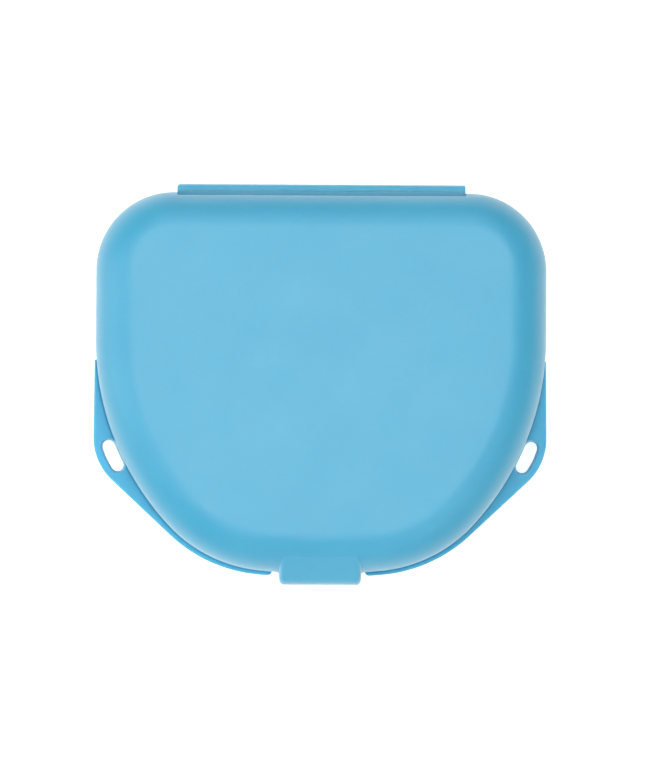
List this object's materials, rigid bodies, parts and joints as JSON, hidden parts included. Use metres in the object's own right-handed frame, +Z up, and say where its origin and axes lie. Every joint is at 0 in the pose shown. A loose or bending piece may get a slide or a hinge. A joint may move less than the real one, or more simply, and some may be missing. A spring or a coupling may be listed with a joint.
{
  "type": "retainer case",
  "caption": "Arch-shaped snap-shut case for a dental retainer: domed lid on a living hinge, a snap tab at the front, and a slotted ear on each side.",
  "frame": {"origin": "the middle of the closed case's bounding box at its base, on the plane it stands on", "axes": "+X to the right seen from above with the hinge at the back, +Y from the snap tab to the hinge, +Z up through the lid"},
  "size_m": [0.0824, 0.0726, 0.027],
  "materials": {
    "blue_plastic": "satin moulded polypropylene, light blue"
  },
  "bodies": {
    "base": {"base_tray": "blue_plastic", "hinge_strap": "blue_plastic"},
    "lid": {"lid": "blue_plastic"},
    "latch_tab": {"latch_tab": "blue_plastic"}
  },
  "joints": [
    {"name": "lid_hinge", "type": "hinge", "parent": "base", "child": "lid", "pos_m": [0, 0.03647, 0.0135], "axis": [-1, 0, 0], "range_deg": [0, 180], "deforming": ["hinge_strap"]},
    {"name": "latch_flex", "type": "hinge", "parent": "lid", "child": "latch_tab", "pos_m": [0, -0.03007, 0.02556], "axis": [-1, 0, 0], "range_deg": [0, 4], "stiffness_Nm_per_rad": 0.02}
  ]
}
